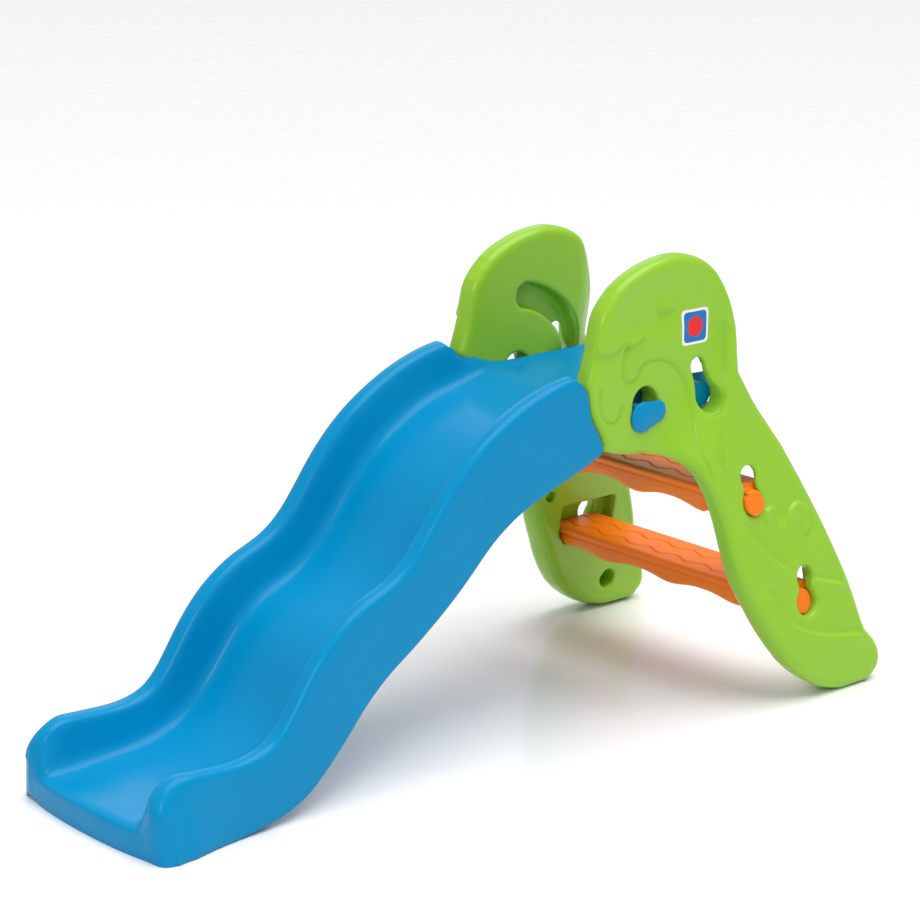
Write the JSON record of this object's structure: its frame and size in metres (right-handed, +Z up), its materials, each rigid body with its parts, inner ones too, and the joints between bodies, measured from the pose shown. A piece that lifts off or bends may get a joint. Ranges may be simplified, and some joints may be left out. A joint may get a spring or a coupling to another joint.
{
  "type": "toddler slide",
  "caption": "Folding toddler slide: a wave shaped chute with a ribbed underside, hinged between leaning side panels that hold the steps of its ladder.",
  "frame": {"origin": "on the floor, in the middle of the open slide's length and width", "axes": "+Z up, -X towards the exit of the chute, +X towards the ladder, y = 0 the plane of symmetry"},
  "size_m": [1.352, 0.608, 0.7283],
  "materials": {
    "blue_plastic": "smooth moulded, soft gloss",
    "green_plastic": "smooth moulded, soft gloss",
    "orange_plastic": "smooth moulded, soft gloss"
  },
  "bodies": {
    "ladder": {"left_panel": "green_plastic", "right_panel": "green_plastic", "lower_step": "orange_plastic", "upper_step": "orange_plastic"},
    "slide": {"chute": "blue_plastic"}
  },
  "joints": [
    {"name": "chute_fold", "type": "hinge", "parent": "ladder", "child": "slide", "pos_m": [0.253, 0, 0.485], "axis": [0, -1, 0], "range_deg": [0, 75]}
  ]
}
